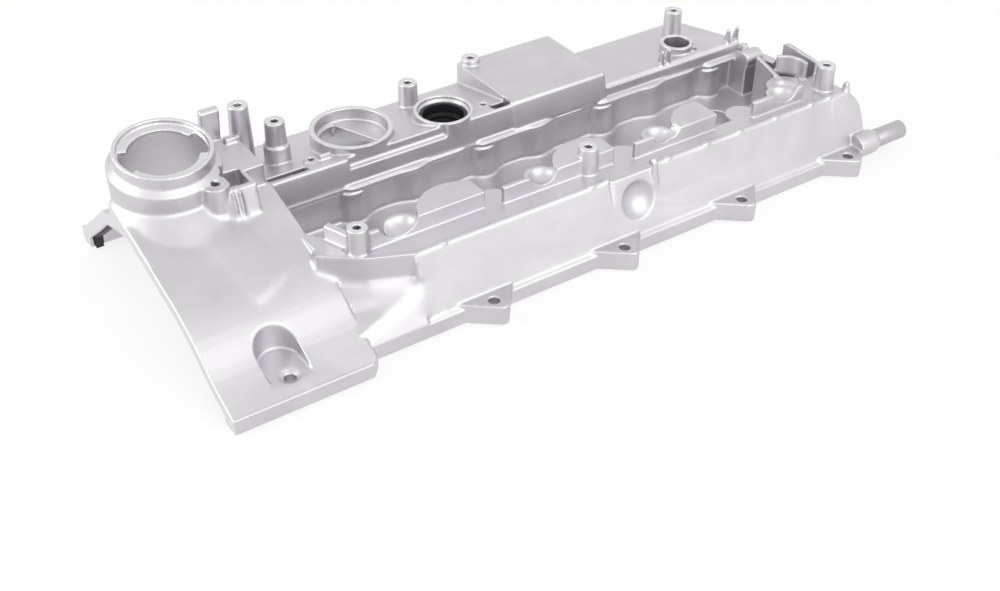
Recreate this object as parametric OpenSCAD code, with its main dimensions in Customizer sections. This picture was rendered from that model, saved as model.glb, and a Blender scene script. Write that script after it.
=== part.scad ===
// Valve cover of a four-cylinder in-line engine, with its gasket, seals and fittings.
// X runs along the crankshaft, from the timing end to the far end. Y runs from the front,
// where the bolt ears stand out, to the back. Z = 0 is the sealing face, and the origin is
// the middle of the rectangle of the outer flange bolts.

/* [Cover] */
// Distance between neighbouring bolt ears, and between neighbouring cylinders
bay_pitch = 97; // [94:1:100]
// Distance between the front and the back row of bolt ears
row_gap = 202; // [198:1:206]
// Distance from the first ear to the timing end face
timing_reach = 170.5; // [167:0.5:174]
// Distance from the last ear to the far end face
far_reach = 27; // [25:0.5:30]
// How far the ears' bolt line lies outside the flange edge
ear_overhang = 4.5; // [3:0.5:6]
// How far the timing end is wider than the main run, on each side
timing_flare = 12.5; // [10:0.5:14]
// Length of the wide timing end
timing_run = 91; // [88:1:94]
// General wall thickness of the casting
wall = 4; // [3:0.5:5]

/* [Flange] */
// Thickness of the sealing flange
flange_h = 9.8; // [8:0.2:12]
// Width of the sealing flange
flange_w = 12; // [11:0.5:13]
// Radius of the flange corners
flange_r = 14; // [10:1:18]
// Thickness of a bolt ear
ear_h = 13; // [11:0.5:15]
// Diameter of the bolt holes in the ears
ear_hole_d = 7; // [6:0.5:8]
// Width of the groove for the gasket
groove_w = 5.4; // [5:0.2:6.4]
// Depth of the groove for the gasket
groove_h = 4; // [3:0.5:5]

/* [Crown] */
// Height of the crown above the sealing face
crown_z = 60; // [57:1:63]
// Distance of the crown's front edge behind the middle line
crown_y = 16; // [14:1:18]
// Distance of the crown's back edge behind the middle line
crown_back_y = 83; // [80:1:86]
// Drop of the crown for each millimetre towards the back
crown_fall = 0.23; // [0.18:0.01:0.28]
// How much lower the crown is at the far end
far_step = 9; // [7:0.5:10]
// Length of the raised box
box_len = 76; // [72:1:80]
// Depth of the raised box
box_depth = 65; // [60:1:68]
// Distance of the box from the middle, at the end towards the timing end
box_start = 53; // [50:1:56]

/* [Front gallery] */
// Height of the front ridge above the sealing face
ridge_z = 50; // [47:0.5:52]
// Distance of the front ridge from the middle line
ridge_y = 80; // [78:0.5:82]
// Distance of the thin wall from the middle line at the timing end
fence_y = 62; // [60:0.5:63]
// How much nearer the edge the thin wall runs in each next bay
fence_shift = 3.2; // [2:0.1:3.6]
// Height of the pads and of the thin wall above the sealing face
pad_z = 60; // [58:0.5:62]
// Radius of the rounded back of a pad
pad_r = 27; // [25:0.5:28]

/* [Trough] */
// Height of the trough floor above the sealing face
trough_z = 16; // [15:0.5:18]
// Height of the lip over the trough's back wall
lip_z = 41; // [39:0.5:43]

/* [Injector wells] */
// Bore of a well
well_d = 20; // [18:0.5:21]
// Bore of the clamp bolt lobe beside a well
lobe_d = 6.5; // [6:0.25:7.5]
// Distance between the well and its clamp bolt lobe
lobe_gap = 19; // [18:0.5:20]
// Width of the band of a well seal
seal_w = 3; // [2.5:0.25:3.5]

/* [Filler neck] */
// Radius of the neck's rim
neck_r = 28.8; // [27:0.2:30]
// Radius of the neck's body
neck_body_r = 33; // [31:0.5:34]
// Height of the neck's rim above the sealing face
neck_z = 92; // [89:0.5:95]
// Tilt of the neck towards the front
neck_tilt = 8; // [5:0.5:10]
// Radius of the opening inside the bayonet ring
neck_bore_r = 20.5; // [19:0.5:22]

/* [Ports] */
// Outer radius of the breather port
breather_r = 26.5; // [25:0.5:27]
// Bore radius of the breather port
breather_bore_r = 23; // [21:0.5:23.5]
// Outer radius of the valve port
valve_r = 19.5; // [18:0.5:20]
// Bore radius of the valve port
valve_bore_r = 15.5; // [14:0.5:16]
// Bore radius of the sensor port
sensor_bore_r = 9; // [8:0.5:9.5]

/* [Posts] */
// Radius of a fixing post at its top
post_r = 6.2; // [5.8:0.1:6.5]
// Radius of the threaded hole in a post
post_hole_r = 2.5; // [2:0.1:3]
// Depth of the threaded hole in a post
post_hole_h = 12; // [10:1:14]
// Height of the front posts above the sealing face
front_post_z = 66.5; // [64:0.5:69]
// Height of the back posts above the sealing face
back_post_z = 65; // [64:0.5:68]

/* [Breather pipe] */
// Outer diameter of the pipe
pipe_d = 13; // [11:0.5:14]
// Wall thickness of the pipe
pipe_wall = 1.5; // [1:0.25:2]
// Length of the pipe outside its boss
pipe_len = 30; // [25:1:35]

/* [Baffle] */
// Thickness of the oil separator's plate
baffle_t = 1.5; // [1:0.25:2]
// Thread diameter of the plate's screws
baffle_screw_d = 5; // [4:0.5:6]

/* [Hidden] */
$fn = 48;
bays = 4;
eps = 0.01;
cut = 1;

// Plan of the cover
half_run = bay_pitch * (bays - 1) / 2;
timing_x = -half_run - timing_reach;
far_x = half_run + far_reach;
main_y = row_gap / 2 - ear_overhang;
wide_y = main_y + timing_flare;
jog_x = timing_x + timing_run;
ear_x = [for (i = [0 : bays - 1]) -half_run + i * bay_pitch];
groove_in = flange_w / 2;

// Crown
crown_back_z = crown_z - crown_fall * (crown_back_y - crown_y);
lip_y = crown_y - 6;
hump_end = jog_x - 1.5;
crown_end = half_run + 0.5;
box_x = [-box_start, box_len - box_start];

// Bays: each starts at the well of its cylinder
bay_x = [for (i = [0 : bays - 1]) -half_run - 41 + i * bay_pitch];
bay_y = [for (i = [0 : bays - 1]) -fence_y - i * fence_shift];
deck_z = ridge_z - 1.5;
fence_t = 3.2;
fence_from = -25;
fence_to = [60.5, 58, 42.5, 19.5];
pad_at = [41.5, 39.5, 34];
cup_at = [[6, 3.5], [5.5, 4.5], [-1.5, 6], [5, 5]];
cup_r = 11;
cup_z = pad_z - 4;
notch_r = 8;
notch_x = [2, 2, 4, 1];
lobe_at = 70.5;
lobe_r = 11.5;
floor_low = trough_z - wall;
well_x = [for (i = [0 : bays - 1]) -2 * bay_pitch + i * bay_pitch];
well_y = -20;
well_wall = 6;

// Underside
flange_in = main_y - flange_w;
bead = 1.2;
seal_h = 3.5;
seal_groove_h = 2.8;
baffle_z = 26;
fit = 0.2;
gasket_w = groove_w - 2 * fit;
arch_w = 11;
arch_t = 8.5;
arch_groove_h = 2.5;
arch_mid_x = timing_x + arch_w / 2;

function unit(v) = v / norm(v);
function left(v) = [-v[1], v[0]];
// A line of points moved to its left by d, with mitred corners
function beside(p, d) =
    [for (i = [0 : len(p) - 1])
        let (a = unit(i == 0 ? p[1] - p[0] : p[i] - p[i - 1]),
             b = i == len(p) - 1 ? a : unit(p[i + 1] - p[i]),
             n = unit(left(a) + left(b)))
        p[i] + n * d / (n * left(a))];
// A smooth curve through points
function smooth(p, n = 4) =
    [for (i = [0 : len(p) - 2])
        let (a = p[max(i - 1, 0)], b = p[i], c = p[i + 1], d = p[min(i + 2, len(p) - 1)])
        for (k = [0 : n - 1])
            let (t = k / n)
            0.5 * (2 * b + (c - a) * t + (2 * a - 5 * b + 4 * c - d) * t * t
                   + (3 * b - a - 3 * c + d) * t * t * t),
     p[len(p) - 1]];
// Height of the crown at a distance behind the middle line
function crown_at(y) = crown_z - crown_fall * (y - crown_y);

// A profile in Y and Z, drawn out along X
module along_x(x0, x1)
    translate([x0, 0, 0]) rotate([90, 0, 90]) linear_extrude(x1 - x0) children();

// A profile in X and Z, drawn out along Y
module along_y(y0, y1)
    translate([0, y1, 0]) rotate([90, 0, 0]) linear_extrude(y1 - y0) children();

// A flat shape in plan, drawn up along Z
module up(z0, z1)
    translate([0, 0, z0]) linear_extrude(z1 - z0) children();

module block(a, b) translate(a) cube(b - a);

// Rectangle with round corners
module round_rect(x0, x1, y0, y1, r) {
    translate([x0 + r, y0]) square([x1 - x0 - 2 * r, y1 - y0]);
    translate([x0, y0 + r]) square([x1 - x0, y1 - y0 - 2 * r]);
    for (x = [x0 + r, x1 - r])
        for (y = [y0 + r, y1 - r])
            translate([x, y]) circle(r);
}

// Plan of the cover, drawn in by a distance
module cover_plan(inset) {
    r = flange_r - inset;
    translate([timing_x + (inset > 0 ? -eps : 0), -wide_y + inset])
        square([timing_run - inset, 2 * (wide_y - inset)]);
    round_rect(jog_x - 3 * flange_r, far_x - inset, -main_y + inset, main_y - inset, r);
}

// Timing end: an arch over the timing gear
hump_front = [[-wide_y + 1, flange_h], [-wide_y + 23, 19.5], [-wide_y + 44, 33.5],
              [-wide_y + 63, 42.5], [-26, 48.4], [-2, 55.4], [crown_y, crown_z]];
hump_back = [[crown_y + 18, 57.3], [58, 49.6], [78, 33], [wide_y - 2, flange_h]];
hump_line = concat([[-wide_y, 0]], smooth(hump_front), hump_back, [[wide_y, 0]]);

module hump_solid()
    along_x(timing_x, hump_end) polygon(hump_line);

module hump_hollow()
    along_x(timing_x - cut, hump_end - wall)
        polygon(concat([[-wide_y + wall, -cut]],
                       beside(smooth(hump_front), -wall),
                       beside(hump_back, -wall),
                       [[wide_y - wall, -cut]]));

// Thick band round the arch, that carries the gasket
module arch_band()
    intersection() {
        along_x(timing_x, timing_x + arch_w)
            difference() {
                polygon(hump_line);
                arch_opening(0);
            }
        block([timing_x - cut, -wide_y - cut, 0], [timing_x + arch_w + cut, wide_y + cut, crown_z + cut]);
    }

// Opening under the arch, grown outwards by a distance
module arch_opening(grow)
    intersection() {
        polygon(concat([[-wide_y, -5 * cut]],
                       beside(hump_front, grow - arch_t),
                       beside(hump_back, grow - arch_t),
                       [[wide_y, -5 * cut]]));
        foot = wide_y - flange_w + grow;
        translate([-foot, -5 * cut]) square([2 * foot, crown_z + 10]);
    }

// Run of the gasket over the arch: w wide, from its outer face to its inner face
module arch_run(w, out, in)
    intersection() {
        along_x(arch_mid_x - w / 2, arch_mid_x + w / 2)
            difference() {
                arch_opening(out);
                arch_opening(-in);
            }
        block([timing_x, -wide_y, -bead], [timing_x + arch_w, wide_y, crown_z]);
    }

// Raised field on the arch beside the neck
module hump_field()
    intersection() {
        along_x(timing_x, hump_end) translate([0, 1.2]) polygon(hump_line);
        up(30, crown_z - 4)
            polygon([[-280, -4], [-276, -50], [-272, -58], [-252, -49], [-248, -44],
                     [-248, -32], [-253, -18], [-256, -4]]);
    }

// Deep pocket in the arch's foot for a flange bolt
pocket_at = [-275.5, -95];
pocket_r = 12.5;
pocket_len = 13;
module pocket_plan(grow) {
    translate([0, pocket_len]) circle(pocket_r + grow);
    translate([-pocket_r - grow, -30]) square([2 * (pocket_r + grow), pocket_len + 30]);
}

module pocket_solid()
    intersection() {
        translate([pocket_at[0], pocket_at[1], 0]) up(0, 40) pocket_plan(wall);
        along_x(timing_x, hump_end) polygon(hump_line);
    }

module pocket_cut()
    translate([pocket_at[0], pocket_at[1], 0]) {
        up(ear_h, 60) pocket_plan(0);
        translate([0, 0, ear_h - 1.5]) cylinder(r = 6, h = 10);
        translate([0, 0, -cut]) cylinder(d = ear_hole_d, h = 30);
    }

// Front gallery: sloping front wall, ridge and deck, up to a distance yb from the middle line
function front_outer(yb) =
    [[-main_y, 0], [-main_y, flange_h], [-main_y + 3, flange_h + 1.5],
     [-main_y + 8.5, 28], [-ridge_y - 1.5, ridge_z - 1.5], [-ridge_y, ridge_z],
     [-ridge_y + 1.5, ridge_z], [-ridge_y + 3, deck_z], [yb, deck_z], [yb, 0]];
function front_inner(yb) =
    [[-main_y + wall, -cut], [-main_y + wall, flange_h], [-main_y + 3 + wall, flange_h + 1],
     [-main_y + 8.5 + wall, 28], [-ridge_y + wall - 1, deck_z - wall],
     [yb - wall, deck_z - wall], [yb - wall, -cut]];
gallery_x = [jog_x + 38, for (i = [1 : bays - 1]) bay_x[i] + fence_from, far_x - 14];

module front_solid()
    for (i = [0 : bays - 1])
        along_x(gallery_x[i], gallery_x[i + 1]) polygon(front_outer(bay_y[i] + fence_t));

module front_hollow()
    for (i = [0 : bays - 1])
        along_x(gallery_x[i] - eps, gallery_x[i + 1]) polygon(front_inner(bay_y[i] + fence_t));

// Round dimple in the front wall, with the wall drawn in behind it
dimple_at = [-28, -ridge_y - 16, 35];
dimple_r = 16;
module dimple_back()
    intersection() {
        translate(dimple_at) sphere(dimple_r + wall - 1);
        along_x(gallery_x[1], gallery_x[3]) polygon(front_outer(bay_y[1] + fence_t));
    }

// The ridge stops between a groove and a fin on both sides of the dimple
saddle_x = [-46, -14];
module saddle_cut() {
    translate(dimple_at) sphere(dimple_r);
    block([saddle_x[0], -ridge_y - 2, deck_z], [saddle_x[1], -ridge_y + 4, ridge_z + cut]);
    along_x(saddle_x[0] - 1.4, saddle_x[0])
        polygon([[-main_y + 8, 32], [-main_y + 9.6, 32], [-ridge_y + 0.5, ridge_z - 1],
                 [-ridge_y + 0.5, ridge_z + cut], [-main_y + 8, ridge_z + cut]]);
}

module saddle_fin()
    along_x(saddle_x[1] - 1, saddle_x[1] + 3)
        polygon([[-main_y + 10, 32], [-ridge_y - 3, ridge_z + 2], [-ridge_y - 1, ridge_z + 4],
                 [-ridge_y + 1, ridge_z + 3], [-ridge_y + 4, deck_z - 1], [-ridge_y + 4, 32]]);

// Small round bumps along the ridge
bump_x = [-166.5, -60, -48, 0, 32, 60, 92, 124, 141];
module ridge_bumps()
    for (x = bump_x)
        translate([x, -ridge_y + 1, deck_z - 2]) cylinder(r = 2.6, h = 4);

// Corner between the arch and the front gallery: a slanting wall over a sloping shelf
shelf_z = 30;
corner_start = hump_end - wall;
module corner_solid()
    hull() {
        along_x(corner_start, corner_start + eps)
            polygon([[-main_y, 0], [-main_y, flange_h], [-main_y + 5, 17], [-52, shelf_z],
                     [-40, shelf_z], [-40, 0]]);
        along_x(gallery_x[0] - eps, gallery_x[0])
            polygon([[-main_y, 0], [-main_y, flange_h], [-main_y + 3, flange_h + 1.5],
                     [-main_y + 8.5, 28], [-main_y + 10, shelf_z], [-76, shelf_z], [-76, 0]]);
    }

module corner_hollow()
    hull() {
        along_x(hump_end, hump_end + eps)
            polygon([[-main_y + 10, -cut], [-main_y + 10, 13], [bay_y[0] + fence_t - wall, 21],
                     [bay_y[0] + fence_t - wall, -cut]]);
        along_x(gallery_x[0], gallery_x[0] + eps)
            polygon([[-main_y + wall, -cut], [-main_y + 3 + wall, flange_h + 1],
                     [-main_y + 8.5 + wall, 26], [bay_y[0] + fence_t - wall, 26],
                     [bay_y[0] + fence_t - wall, -cut]]);
    }

// Deck over the corner, with its fin
deck_edge = [[corner_start, -29], [-228.6, -26], [-219, -37], [-216, bay_y[0] + fence_t]];
module timing_deck() {
    up(floor_low, deck_z)
        polygon(concat(deck_edge, [[gallery_x[0] + eps, bay_y[0] + fence_t],
                                   [gallery_x[0] + eps, -ridge_y - 1.5], [-223, -53],
                                   [corner_start, -48]]));
    up(deck_z - 1, ridge_z)
        polygon([[corner_start, -48], [-223, -53], [gallery_x[0] + eps, -ridge_y - 1.5],
                 [gallery_x[0] + eps, -ridge_y + 1.5], [-223, -50], [corner_start, -45]]);
    up(floor_low, pad_z - 2)
        polygon([[-221, -38], [-216.5, -36], [-208, bay_y[0] + fence_t], [-213, bay_y[0] + fence_t]]);
}

module timing_deck_hollow()
    up(-cut, deck_z - wall)
        polygon([[-204, bay_y[0] + fence_t - wall], [gallery_x[0] + 1, bay_y[0] + fence_t - wall],
                 [gallery_x[0] + 1, -ridge_y + 4]]);

// Pads over the bearing caps, with their low lobes
module pad_plan(i, inset)
    intersection() {
        translate([bay_x[i] + pad_at[i], bay_y[i] - 5]) circle(pad_r - inset);
        translate([bay_x[i] - 10, bay_y[i] + inset])
            square([fence_to[i] + 10 - inset, 2 * pad_r]);
    }

module lobe(i, r, z0, z1)
    translate([bay_x[i] + lobe_at, bay_y[i] + 5, z0]) cylinder(r = r, h = z1 - z0);

module cup_plan(i, inset)
    intersection() {
        translate([bay_x[i] + cup_at[i][0], bay_y[i] + cup_at[i][1]]) circle(cup_r - inset);
        translate([bay_x[i] - 20, bay_y[i] + inset]) square([60, 60]);
    }

module pads_solid() {
    for (i = [0 : bays - 2]) {
        up(floor_low, pad_z) pad_plan(i, 0);
        lobe(i, lobe_r, floor_low, deck_z);
    }
    for (i = [0 : bays - 1])
        up(floor_low, cup_z) cup_plan(i, 0);
}

module pads_hollow() {
    for (i = [0 : bays - 2]) {
        intersection() {
            up(-cut, pad_z - wall) pad_plan(i, wall);
            block([bay_x[i] + 22, -main_y, -2 * cut], [bay_x[i] + bay_pitch, 0, pad_z]);
        }
        lobe(i, lobe_r - wall, -cut, deck_z - wall);
    }
    for (i = [0 : bays - 1])
        up(-cut, cup_z - 11) cup_plan(i, wall);
}

// Thin wall along the trough, with a notch over the cup in each bay
module fence()
    for (i = [0 : bays - 1])
        block([bay_x[i] + fence_from, bay_y[i], deck_z - cut],
              [bay_x[i] + fence_to[i], bay_y[i] + fence_t, pad_z]);

module fence_notches()
    for (i = [0 : bays - 1]) {
        translate([bay_x[i] + cup_at[i][0], bay_y[i] + cup_at[i][1], pad_z + 0.5]) sphere(9.5);
        translate([bay_x[i] + notch_x[i], bay_y[i] + cup_at[i][1], pad_z + 2])
            rotate([90, 0, 0]) cylinder(r = notch_r, h = 12);
    }

// Crown: plateau that falls to the back, with the wall of the trough in front
wall_back_y = lip_y + 3.5;
crown_outer = [[wall_back_y, floor_low], [wall_back_y, lip_z - 3], [lip_y + 1.5, lip_z - 1],
               [lip_y + 2.5, lip_z + 1], [crown_y - 1, crown_z - 2], [crown_y, crown_z - 1],
               [crown_back_y - 2, crown_back_z + 0.5], [crown_back_y + 1.5, crown_back_z - 2],
               [main_y - 2, flange_h], [main_y, flange_h], [main_y, 0], [wall_back_y, 0]];
crown_inner = [[crown_y + wall, -cut], [crown_y + wall, crown_z - 1 - wall],
               [crown_back_y - 2, crown_back_z - wall], [crown_back_y - 0.5, crown_back_z - wall - 1],
               [main_y - wall - 2, flange_h], [main_y - wall - 2, -cut]];

module crown_solid() {
    along_x(hump_end - 3 * wall, box_x[1]) polygon(crown_outer);
    along_x(box_x[1], crown_end)
        difference() {
            polygon(crown_outer);
            polygon([[-20, crown_z + 20], [-20, lip_z + 0.4 * (crown_z - lip_z)],
                     [crown_y - 2, lip_z + 0.4 * (crown_z - lip_z)],
                     [crown_y, crown_z - far_step],
                     [crown_back_y, crown_back_z - 0.8 * far_step], [main_y + 20, 0.3 * crown_z],
                     [main_y + 20, crown_z + 20]]);
        }
}

module crown_hollow() {
    along_x(hump_end - 2 * wall, box_x[1] - wall) polygon(crown_inner);
    along_x(box_x[1] - wall - eps, crown_end - wall)
        intersection() {
            polygon(crown_inner);
            polygon([[0, -2 * cut], [0, crown_z - far_step - wall],
                     [crown_y, crown_z - far_step - wall],
                     [crown_back_y, crown_back_z - 0.8 * far_step - wall],
                     [main_y, 0], [main_y, -2 * cut]]);
        }
}

// Back wall of the trough: in each bay an upright ridge, a hollow stretch, a step and a groove
wall_curve = [[-9, 3.5], [-6, -0.5], [-1, -2.5], [5, -2], [9, 0.5], [15, 3], [24, 3.5], [33, 2.5],
              [40, -0.5], [45, -1], [50, 0.3], [56, 2.3], [64, 2.6], [77, 2.6], [81, 3.5]];
lip_curve = [[-7, 3], [-5, 0.5], [-2, -1], [6, -1.3], [30, -1], [38, -2], [44, -2.3], [50, -1],
             [55, 0.6], [62, 0.9], [78, 0.9], [82, 1.6], [84, 3.2]];
ridge_at = 12.5;
module bay_strip(curve, grow)
    polygon(concat([for (p = smooth(curve, 2)) [p[0], lip_y + p[1] + grow]],
                   [[curve[len(curve) - 1][0], crown_y + cut], [curve[0][0], crown_y + cut]]));

module back_wall_relief()
    for (i = [0 : bays - 1])
        intersection() {
            translate([bay_x[i] + ridge_at, 0, 0]) {
                up(floor_low, lip_z - 3) bay_strip(wall_curve, 0);
                up(lip_z - 3, lip_z - 2) bay_strip(lip_curve, 1.2);
                up(lip_z - 2, lip_z) bay_strip(lip_curve, 0);
                up(lip_z, lip_z + 1) bay_strip(lip_curve, 1.3);
            }
            block([hump_end - cut, 0, 0], [crown_end, crown_y + wall, crown_z]);
        }

// Upright bead that ends the trough's back wall
module wall_end_bead()
    translate([crown_end, lip_y - 1, floor_low]) cylinder(r = 2.6, h = crown_z - far_step - floor_low - 1);

// Raised box on the crown
module box_solid()
    along_x(box_x[0], box_x[1])
        polygon([[lip_y + 1, lip_z + 1], [crown_y - 1.5, crown_z - 1], [crown_y, crown_z + 0.5],
                 [crown_y + box_depth - 1, crown_z + 0.5], [crown_y + box_depth, crown_z - 0.5],
                 [crown_y + box_depth, crown_back_z - 2], [lip_y + wall, lip_z]]);

module box_hollow()
    block([box_x[0] + wall, crown_y + wall, lip_z - 10],
          [box_x[1] - wall, crown_y + box_depth - wall, crown_z - wall]);

// Grooves and slots along the crown's front edge
slot_z = 46;
module crown_cuts() {
    along_x(-174, -104)
        polygon([[lip_y, crown_z - 8], [crown_y, crown_z - 8], [crown_y + 1, crown_z - 7],
                 [crown_y + 2, crown_z + 2], [lip_y, crown_z + 2]]);
    block([hump_end, crown_y + 2.5, slot_z], [-199, crown_y + 9, crown_z + cut]);
    block([-65, crown_y + 1.5, slot_z], [-box_start + cut, crown_y + 9, crown_z + cut]);
}

module slot_walls() {
    block([hump_end, crown_y - cut, slot_z - wall], [-195, crown_y + 9 + wall, slot_z + cut]);
    block([-69, crown_y - cut, slot_z - wall], [-box_start + wall, crown_y + 9 + wall, slot_z + cut]);
}

// Small screw bosses beside the slots, and thin ribs on the crown
screw_boss_at = [[-192.6, 29.2], [-67, 28]];
screw_boss_z = crown_z - 1.8;
last_boss_at = [108.5, 21.2];
small_hole_r = 2;
module crown_trim() {
    for (p = screw_boss_at)
        translate([p[0], p[1], screw_boss_z - 10]) cylinder(r = 4.6, h = 10);
    block([-189, 24, crown_z - 4], [-181, 26, crown_z + 1.5]);
    for (x = [74, 80, 135.5, 143.5])
        along_x(x, x + 2)
            polygon([[crown_y - 1, crown_z - far_step - 3], [crown_y - 1, crown_z],
                     [crown_y + 1, crown_z + 1.5], [crown_y + 6, crown_z - far_step - 3]]);
    translate([last_boss_at[0], last_boss_at[1], crown_z - far_step - wall])
        cylinder(r = 4.5, h = wall + 0.6);
}

module crown_trim_holes() {
    for (p = screw_boss_at)
        translate([p[0], p[1], screw_boss_z - 7.8]) cylinder(r = small_hole_r, h = 10);
    translate([last_boss_at[0], last_boss_at[1], crown_z - far_step - 3])
        cylinder(r = small_hole_r, h = 10);
}

// Trough floor between the gallery and the crown
module trough_floor()
    up(floor_low, trough_z)
        polygon([[corner_start, -30], [-222, -42], [-219, bay_y[0]], [far_x - 14, bay_y[3]],
                 [far_x - 8, lip_y + 5], [corner_start, lip_y + 5]]);

// Far end: sloping end wall with the pocket behind the last bay
end_profile = [[far_x - 30, 0], [far_x, 0], [far_x, flange_h], [far_x - 2, flange_h + 1.5],
               [far_x - 3, 28], [far_x - 5, 38], [far_x - 9, 44], [far_x - 14, deck_z],
               [far_x - 30, deck_z]];
module far_end_solid() {
    intersection() {
        along_y(-main_y, main_y) polygon(end_profile);
        union() {
            up(0, flange_h) cover_plan(0);
            along_x(far_x - 30, far_x + cut)
                polygon([[-main_y + 2, 0], [-main_y + 3, flange_h + 1.5], [-main_y + 8.5, 28],
                         [-ridge_y - 1.5, ridge_z], [-16, ridge_z], [-8, 38], [60, 30],
                         [main_y - 2, flange_h], [main_y - 2, 0]]);
        }
    }
    up(floor_low, deck_z)
        polygon([[120, bay_y[3]], [far_x - 14, bay_y[3]], [far_x - 14, -50], [147, -50],
                 [141, -57], [129, -62], [120, bay_y[3] + fence_t]]);
}

// Pocket of the trough at the far end, open at the top
module far_pocket()
    difference() {
        along_y(-57, lip_y + 3)
            polygon([[far_x - 40, trough_z], [far_x - 11, trough_z], [far_x - 15.5, crown_z + cut],
                     [far_x - 40, crown_z + cut]]);
        up(0, crown_z + 2 * cut) polygon([[far_x - 50, lip_y - 3], [crown_end, lip_y - 3],
                                          [crown_end, lip_y + 4], [far_x - 50, lip_y + 4]]);
        up(0, deck_z + eps) polygon([[far_x - 50, -58], [far_x, -58], [far_x, -50], [147, -50],
                                     [141, -57], [129, -57.5]]);
    }

module far_end_hollow() {
    along_x(crown_end, far_x - 6.5)
        intersection() {
            polygon(front_inner(-57));
            translate([-main_y, -2 * cut]) square([main_y, 42]);
        }
    along_x(crown_end - wall - eps, far_x - 8)
        polygon([[lip_y + 7, -cut], [lip_y + 7, 32], [60, 26], [main_y - 6, flange_h], [main_y - 6, -cut]]);
}

// Walls that stand in the far pocket and on its edge
last_cup = [131, -50];
module far_walls() {
    along_x(132.5, 135.5)
        polygon([[-17, floor_low], [-17, 55], [-45, 47], [-45, floor_low]]);
    translate([last_cup[0], last_cup[1], floor_low]) cylinder(r = 14, h = deck_z - 1 - floor_low);
    translate([last_cup[0] + 2, last_cup[1] + 4, floor_low])
        rotate([0, 0, -22]) rotate_extrude(angle = 97) translate([12.8, 0]) square([2.6, 61 - floor_low]);
    along_x(far_x - 16, far_x - 13)
        polygon([[-50, 40], [-50, 58], [-21, 60], [-18, 58], [-18, 40]]);
    translate([138, 2, 42]) rotate([0, 90, 0]) cylinder(r = 6.5, h = 15);
    block([138, -3, floor_low], [151, wall_back_y, 40]);
    along_x(far_x - 16, far_x - 12.5)
        polygon([[-ridge_y - 3, 42], [-ridge_y + 0.5, 55], [-ridge_y + 3, 55], [-ridge_y + 5, 46]]);
}

module far_scoop()
    translate([last_cup[0] - 2, last_cup[1] - 1, 55]) sphere(12);

// Sealing flange with its groove and the bolt ears
module flange_ring()
    up(0, flange_h)
        difference() {
            cover_plan(0);
            cover_plan(flange_w);
        }

module ear(x, side)
    translate([x, side * row_gap / 2, 0]) {
        up(0, ear_h)
            polygon([[-23, -side * (ear_overhang + 5)], [-20.5, -side * (ear_overhang + 3)],
                     [-1, side * 8.2], [2, side * 9.6], [5, side * 8.6],
                     [18.5, -side * (ear_overhang + 4)], [18.5, -side * (ear_overhang + 7)]]);
    }

module ear_hole(x, side)
    translate([x, side * row_gap / 2, -cut]) cylinder(d = ear_hole_d, h = ear_h + 2 * cut);

// Flat run of the gasket: w wide, joined to the arch at the timing end
module flat_run(w, z0, z1)
    difference() {
        up(z0, z1) {
            difference() {
                cover_plan(groove_in - w / 2);
                cover_plan(groove_in + w / 2);
            }
            for (side = [-1, 1])
                translate([arch_mid_x - w / 2, side * (wide_y - flange_w / 2) - flange_w / 2])
                    square([w, flange_w]);
        }
        block([timing_x - cut, -2 * wide_y, z0 - cut], [arch_mid_x - w / 2, 2 * wide_y, z1 + cut]);
        for (side = [-1, 1])
            translate([arch_mid_x, side * (wide_y - groove_in + w), (z0 + z1) / 2])
                cube([2 * w, w, 2 * (z1 - z0)], center = true);
    }

module gasket_groove() {
    flat_run(groove_w, -cut, groove_h);
    intersection() {
        along_x(arch_mid_x - groove_w / 2, arch_mid_x + groove_w / 2) arch_opening(arch_groove_h);
        block([timing_x, -wide_y, -cut], [timing_x + arch_w, wide_y, crown_z]);
    }
}

// Filler neck
neck_at = [-281, 36];
module neck_frame()
    translate([neck_at[0], neck_at[1], neck_z]) rotate([neck_tilt, 0, 0]) children();

module neck_solid()
    neck_frame()
        rotate_extrude()
            polygon([[0, -46], [neck_body_r - 1.5, -46], [neck_body_r, -11], [neck_r, -8],
                     [neck_r, 0], [0, 0]]);

neck_inner_r = neck_body_r - wall - 1.5;
module neck_bore()
    neck_frame() {
        translate([0, 0, -3]) cylinder(r = neck_r - 2.5, h = 3 + cut);
        translate([0, 0, -8]) cylinder(r = neck_bore_r, h = 8);
        for (a = [177, -3])
            rotate([0, 0, a - 24])
                translate([0, 0, -7.5]) rotate_extrude(angle = 48)
                    translate([neck_bore_r - 1, 0]) square([5.5, 8]);
        rotate_extrude()
            polygon([[0, -60], [neck_inner_r, -60], [neck_inner_r, -12], [neck_r - 2.5, -7], [0, -7]]);
    }

// Block and shelf beside the neck
module neck_shelf() {
    block([-262, crown_y, 50], [-229, 55, 74]);
    along_x(-260, -241) polygon([[-4, 52], [1.5, 73], [crown_y + 1, 73], [crown_y + 1, 50]]);
    for (x = [-257.5, -253.5])
        along_x(x, x + 1.6) polygon([[-7, 49], [-1, 72], [6, 72], [6, 49]]);
    along_x(-250, -238) polygon([[58, 50], [52, 95], [54, 96.5], [57, 96.5], [63, 50]]);
    block([-239, 46, 70], [-231, 51, 78]);
}

module neck_shelf_pocket()
    block([-256, 5, 62], [-244, crown_y + 4, 80]);

// Ports on the crown
breather_at = [-157, 42];
breather_z = 63;
breather_floor_z = breather_z - 8.4;
valve_at = [-94.5, 33];
valve_z = 60.5;
valve_seat_z = valve_z - 17;
sensor_at = [99.6, 30];
sensor_z = 55.7;

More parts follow.
